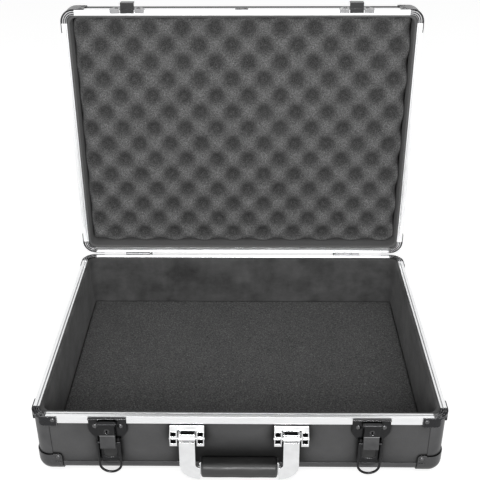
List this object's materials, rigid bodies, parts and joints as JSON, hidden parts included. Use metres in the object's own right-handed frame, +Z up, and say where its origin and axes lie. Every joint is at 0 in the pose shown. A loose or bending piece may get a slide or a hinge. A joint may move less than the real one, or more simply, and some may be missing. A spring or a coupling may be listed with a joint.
{
  "type": "microphone case",
  "caption": "Framed carrying case with a hinged, foam-lined lid, draw latches with locks, riveted corners and a swinging handle.",
  "frame": {"origin": "middle of the whole open case in plan, at the ground under the bottom caps", "axes": "+X to the right along the front, -Y to the front with the handle, +Z up"},
  "size_m": [0.4636, 0.421, 0.4407],
  "materials": {
    "laminate": "black laminate over board, low sheen",
    "black_frame": "black satin coating",
    "black_corner": "black, low gloss",
    "rim_aluminium": "brushed along its length",
    "black_steel": "black, semi-gloss",
    "bright_steel": "polished",
    "rivet_steel": "dull bright",
    "grip_cover": "black, smooth",
    "floor_foam": "charcoal foam",
    "lid_foam": "charcoal foam",
    "wall_lining": "charcoal foam sheet",
    "lid_lining": "dark grey foam sheet",
    "lock_metal": "dark plated"
  },
  "bodies": {
    "base": {"base_floor_panel": "laminate", "base_front_panel": "laminate", "base_rear_panel": "laminate", "base_left_panel": "laminate", "base_right_panel": "laminate", "base_corner_posts": "black_frame", "base_edge_trims": "black_frame", "base_front_rim": "rim_aluminium", "base_rear_rim": "rim_aluminium", "base_side_rims": "rim_aluminium", "base_rim_corners": "black_corner", "base_bottom_caps": "black_frame", "base_corner_rivets": "rivet_steel", "base_wall_lining": "wall_lining", "base_floor_foam": "floor_foam", "hinge_base_leaves": "rim_aluminium", "hinge_pins": "rivet_steel", "hinge_base_rivets": "rivet_steel", "left_latch_plate": "black_steel", "right_latch_plate": "black_steel", "latch_rivets": "black_steel", "latch_axles": "black_steel", "left_handle_bracket": "bright_steel", "right_handle_bracket": "bright_steel", "bracket_rivets": "bright_steel", "handle_pivot_pins": "bright_steel"},
    "left_lever": {"left_latch_lever": "black_steel"},
    "right_lever": {"right_latch_lever": "black_steel"},
    "left_lock": {"left_lock_cylinder": "lock_metal"},
    "right_lock": {"right_lock_cylinder": "lock_metal"},
    "left_bail": {"left_latch_bail": "black_steel"},
    "right_bail": {"right_latch_bail": "black_steel"},
    "handle": {"left_handle_arm": "bright_steel", "right_handle_arm": "bright_steel", "handle_grip": "grip_cover", "grip_core": "rivet_steel", "handle_screws": "bright_steel"},
    "lid": {"lid_top_panel": "laminate", "lid_front_panel": "laminate", "lid_rear_panel": "laminate", "lid_left_panel": "laminate", "lid_right_panel": "laminate", "lid_corner_posts": "black_frame", "lid_edge_trims": "black_frame", "lid_front_rim": "rim_aluminium", "lid_rear_rim": "rim_aluminium", "lid_side_rims": "rim_aluminium", "lid_rim_corners": "black_corner", "lid_top_caps": "black_frame", "lid_corner_rivets": "rivet_steel", "lid_wall_lining": "lid_lining", "lid_foam": "lid_foam", "hinge_lid_leaves": "rim_aluminium", "hinge_lid_rivets": "rivet_steel", "left_catch": "black_steel", "right_catch": "black_steel", "catch_rivets": "black_steel", "lid_centre_plate": "rim_aluminium", "centre_plate_rivets": "bright_steel"}
  },
  "joints": [
    {"name": "lid_hinge", "type": "hinge", "parent": "base", "child": "lid", "pos_m": [0, 0.16051, 0.08325], "axis": [1, 0, 0], "range_deg": [0, 92]},
    {"name": "handle_swing", "type": "hinge", "parent": "base", "child": "handle", "pos_m": [0, -0.19579, 0.058], "axis": [-1, 0, 0], "range_deg": [0, 100]},
    {"name": "left_latch_throw", "type": "hinge", "parent": "base", "child": "left_lever", "pos_m": [-0.145, -0.19459, 0.0765], "axis": [-1, 0, 0], "range_deg": [0, 100]},
    {"name": "right_latch_throw", "type": "hinge", "parent": "base", "child": "right_lever", "pos_m": [0.145, -0.19459, 0.0765], "axis": [-1, 0, 0], "range_deg": [0, 100]},
    {"name": "left_bail_swing", "type": "hinge", "parent": "left_lever", "child": "left_bail", "pos_m": [-0.145, -0.19439, 0.0502], "axis": [1, 0, 0], "range_deg": [-180, 0]},
    {"name": "right_bail_swing", "type": "hinge", "parent": "right_lever", "child": "right_bail", "pos_m": [0.145, -0.19439, 0.0502], "axis": [1, 0, 0], "range_deg": [-180, 0]},
    {"name": "left_lock_turn", "type": "hinge", "parent": "left_lever", "child": "left_lock", "pos_m": [-0.145, -0.19819, 0.0692], "axis": [0, 1, 0], "range_deg": [0, 90]},
    {"name": "right_lock_turn", "type": "hinge", "parent": "right_lever", "child": "right_lock", "pos_m": [0.145, -0.19819, 0.0692], "axis": [0, 1, 0], "range_deg": [0, 90]}
  ]
}
